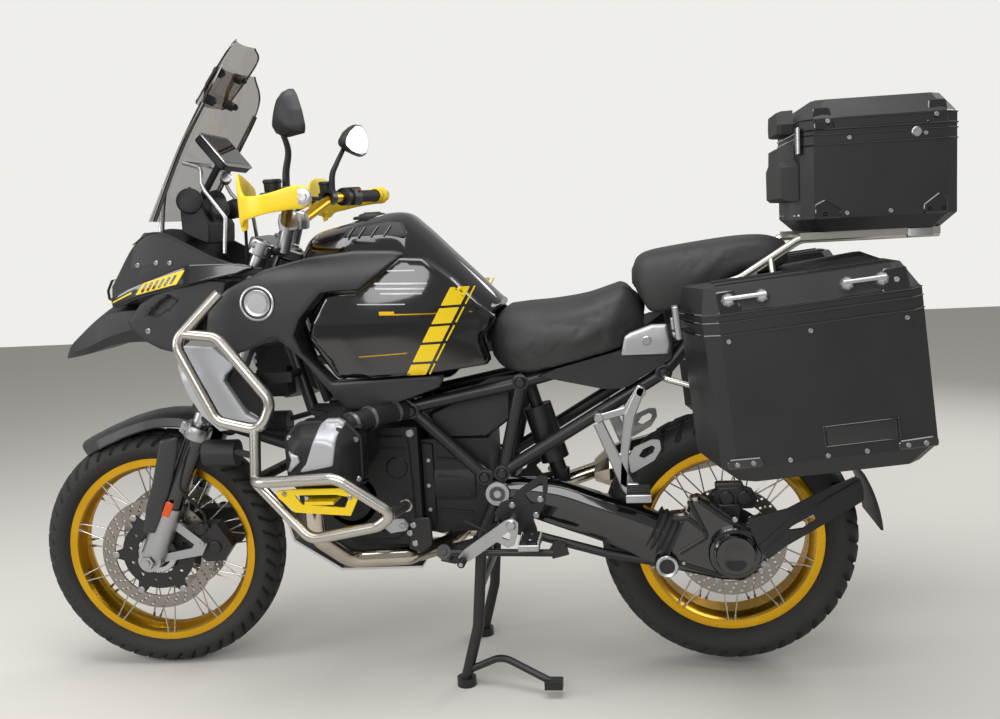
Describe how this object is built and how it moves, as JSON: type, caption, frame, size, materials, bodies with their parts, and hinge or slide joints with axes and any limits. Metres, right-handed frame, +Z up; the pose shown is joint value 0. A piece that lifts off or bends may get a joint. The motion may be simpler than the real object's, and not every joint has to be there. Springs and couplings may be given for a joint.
{
  "type": "adventure motorcycle",
  "caption": "Touring-enduro motorcycle on its centre stand with boxer engine, spoked wheels, crash bars, panniers and a top box.",
  "frame": {"origin": "bottom centre of the whole machine's box at rest, on the floor", "axes": "+X forward along the machine, +Y to the rider's left, +Z up"},
  "size_m": [2.3269, 0.998, 1.632],
  "materials": {
    "engine_casting": "satin",
    "head_cover": "satin",
    "yellow_coat": "satin",
    "stainless": "brushed",
    "plate_aluminium": "satin",
    "exhaust_chrome": "polished",
    "black_steel": "satin",
    "matte_black": "matte",
    "gloss_black": "gloss",
    "gloss_black_metal": "gloss",
    "silver_paint": "metallic satin",
    "lamp_glass": "clear",
    "tinted_screen": "smoke tint",
    "seat_cover": "matte grain",
    "case_aluminium": "powder coat",
    "gold_anodised": "anodised",
    "yellow_plastic": "satin",
    "tyre_rubber": "moulded",
    "disc_steel": "ground"
  },
  "bodies": {
    "root": {"engine_block": "engine_casting", "cylinders": "head_cover", "head_guards": "yellow_coat", "crash_bars": "stainless", "skid_plate": "plate_aluminium", "exhaust": "exhaust_chrome", "main_frame": "black_steel", "fuel_tank": "matte_black", "tank_side_panels": "gloss_black", "tank_wings": "matte_black", "radiator_shrouds": "silver_paint", "radiators": "matte_black", "beak": "matte_black", "front_cowl": "matte_black", "cheek_panels": "gloss_black", "headlight": "lamp_glass", "aux_lamps": "matte_black", "windscreen": "tinted_screen", "screen_stays": "stainless", "display": "matte_black", "rider_seat": "seat_cover", "pillion_seat": "seat_cover", "airbox": "matte_black", "side_covers": "matte_black", "luggage_rack": "stainless", "tail_unit": "matte_black", "swingarm": "gloss_black_metal", "rear_shock": "black_steel", "rear_caliper": "black_steel", "splash_guard": "matte_black", "footrests": "plate_aluminium", "foot_controls": "plate_aluminium", "front_arm": "black_steel", "pannier_box_left": "case_aluminium", "pannier_box_right": "case_aluminium", "top_box": "case_aluminium", "backrest_low": "seat_cover"},
    "steering": {"fork_upper": "black_steel", "fork_lower": "black_steel", "fork_feet": "plate_aluminium", "front_axle": "plate_aluminium", "front_calipers": "black_steel", "front_mudguard": "matte_black", "handlebar": "gold_anodised", "controls": "matte_black", "handguards": "yellow_plastic", "mirrors": "matte_black"},
    "front_wheel": {"front_tyre": "tyre_rubber", "front_rim": "gold_anodised", "front_hub": "black_steel", "front_discs": "disc_steel"},
    "rear_wheel": {"rear_tyre": "tyre_rubber", "rear_rim": "gold_anodised", "rear_hub": "black_steel", "rear_disc": "disc_steel"},
    "centre_stand": {"centre_stand": "black_steel"},
    "side_stand": {"side_stand": "black_steel"},
    "left_lid": {"pannier_lid_left": "case_aluminium", "lid_handles_left": "plate_aluminium"},
    "right_lid": {"pannier_lid_right": "case_aluminium", "lid_handles_right": "plate_aluminium"},
    "top_lid": {"top_box_lid": "case_aluminium", "backrest_high": "seat_cover"}
  },
  "joints": [
    {"name": "steering", "type": "hinge", "parent": "root", "child": "steering", "pos_m": [0.7885, 0, 0.325], "axis": [-0.421, 0, 0.907], "range_deg": [-42.1, 33.9]},
    {"name": "front_wheel_spin", "type": "hinge", "parent": "steering", "child": "front_wheel", "pos_m": [0.84388, 0.0036, 0.32495], "axis": [-0.0649, 0.9974, -0.0301], "continuous": true},
    {"name": "rear_wheel_spin", "type": "hinge", "parent": "root", "child": "rear_wheel", "pos_m": [-0.66, 0, 0.338], "axis": [0, 1, 0], "continuous": true},
    {"name": "centre_stand_fold", "type": "hinge", "parent": "root", "child": "centre_stand", "pos_m": [-0.048, 0, 0.345], "axis": [0, 1, 0], "range_deg": [0, 88]},
    {"name": "side_stand_swing", "type": "hinge", "parent": "root", "child": "side_stand", "pos_m": [0.04, 0.178, 0.352], "axis": [0, -0.9043, -0.4268], "range_deg": [0, 100]},
    {"name": "left_lid_lift", "type": "hinge", "parent": "root", "child": "left_lid", "pos_m": [-1.01213, 0.38, 0.97668], "axis": [0, -1, 0], "range_deg": [0, 95]},
    {"name": "right_lid_lift", "type": "hinge", "parent": "root", "child": "right_lid", "pos_m": [-1.01213, -0.38, 0.97668], "axis": [0, -1, 0], "range_deg": [0, 95]},
    {"name": "top_lid_lift", "type": "hinge", "parent": "root", "child": "top_lid", "pos_m": [-1.165, 0, 1.31], "axis": [0, -1, 0], "range_deg": [0, 85]}
  ]
}
